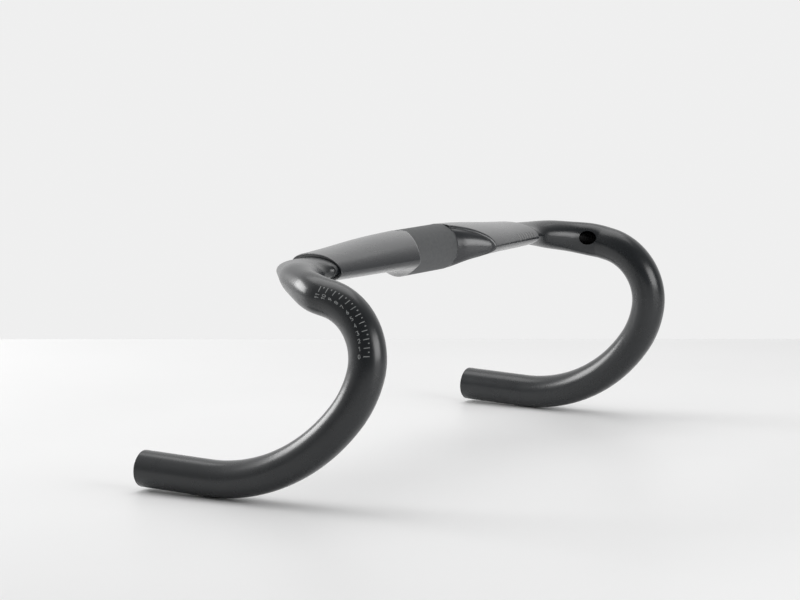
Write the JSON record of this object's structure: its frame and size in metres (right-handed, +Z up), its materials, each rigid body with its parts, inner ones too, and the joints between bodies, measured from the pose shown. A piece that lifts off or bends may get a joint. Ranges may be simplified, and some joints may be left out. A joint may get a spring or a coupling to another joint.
{
  "type": "drop handlebar",
  "caption": "Drop handlebar with a wing-shaped hollow top, round stem clamp area, compact flared hooks, inner hose ports and a printed lever scale.",
  "frame": {"origin": "centre of the stem clamp area", "axes": "+X to the rider's left along the clamp area, -Y forward, +Z up with the hooks hanging down"},
  "size_m": [0.4448, 0.1732, 0.1563],
  "materials": {
    "carbon_top": "satin clear-coated carbon laminate",
    "carbon_drop": "satin clear-coated carbon laminate",
    "reinforcement": "raw moulded carbon",
    "grip_coat": "rough matte friction coat",
    "adhesive": "cured epoxy",
    "print": "grey printed ink",
    "wing_print": "grey printed ink"
  },
  "bodies": {
    "root": {"centre_section": "carbon_top", "clamp_reinforcement": "reinforcement", "clamp_grip_coat": "grip_coat", "left_drop": "carbon_drop", "left_bond": "adhesive", "left_scale_ticks": "print", "left_scale_dots": "print", "left_scale_numerals": "print", "right_drop": "carbon_drop", "right_bond": "adhesive", "right_scale_ticks": "print", "right_scale_dots": "print", "right_scale_numerals": "print", "left_wing_mark": "wing_print"}
  },
  "joints": []
}
